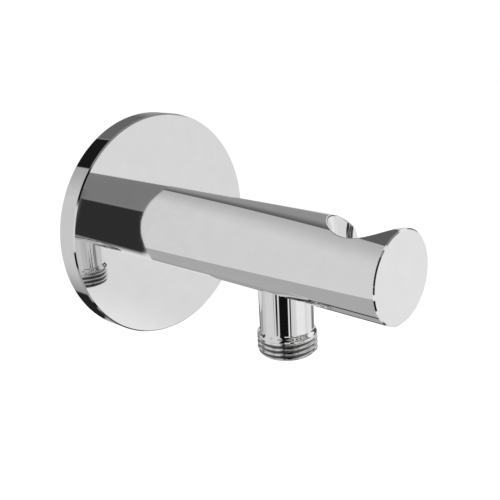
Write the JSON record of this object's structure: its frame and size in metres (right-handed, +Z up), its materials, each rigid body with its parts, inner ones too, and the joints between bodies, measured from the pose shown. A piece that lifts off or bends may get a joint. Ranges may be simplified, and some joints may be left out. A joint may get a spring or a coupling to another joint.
{
  "type": "wall outlet elbow",
  "caption": "Round wall flange with a bar arm that leads water to a threaded hose outlet below it and holds a hand shower's cone in an open seat near its free end.",
  "frame": {"origin": "on the arm's axis in the plane of the wall, at the front of the wall thread", "axes": "+Z up, +Y into the wall along the arm's axis, +X to the right of a person who faces the wall; the arm stands out along -Y"},
  "size_m": [0.085, 0.1295, 0.085],
  "materials": {
    "chrome_plated_brass": "polished chrome plate on brass",
    "bare_brass": "turned, unplated",
    "screw_steel": "stainless, plain",
    "spring_steel": "drawn stainless wire",
    "seal_rubber": "moulded, matt",
    "valve_plastic": "moulded acetal"
  },
  "bodies": {
    "fitting": {"arm_body": "chrome_plated_brass", "flange_gasket": "seal_rubber", "flange_ring": "seal_rubber", "nipple_ring_front": "seal_rubber", "nipple_ring_rear": "seal_rubber", "outlet_nipple": "chrome_plated_brass", "outlet_washer": "seal_rubber", "set_screw": "screw_steel", "valve_guide": "valve_plastic", "valve_housing": "valve_plastic", "valve_ring": "seal_rubber", "valve_spring": "spring_steel", "wall_flange": "chrome_plated_brass", "wall_nipple": "bare_brass"},
    "poppet": {"valve_poppet": "valve_plastic", "valve_seal": "seal_rubber"}
  },
  "joints": [
    {"name": "poppet_slide", "type": "slide", "parent": "fitting", "child": "poppet", "axis": [0, 0, -1], "range_m": [0, 0.003], "stiffness_N_per_m": 120, "springref_m": -0.004, "deforming": ["valve_spring"]}
  ]
}
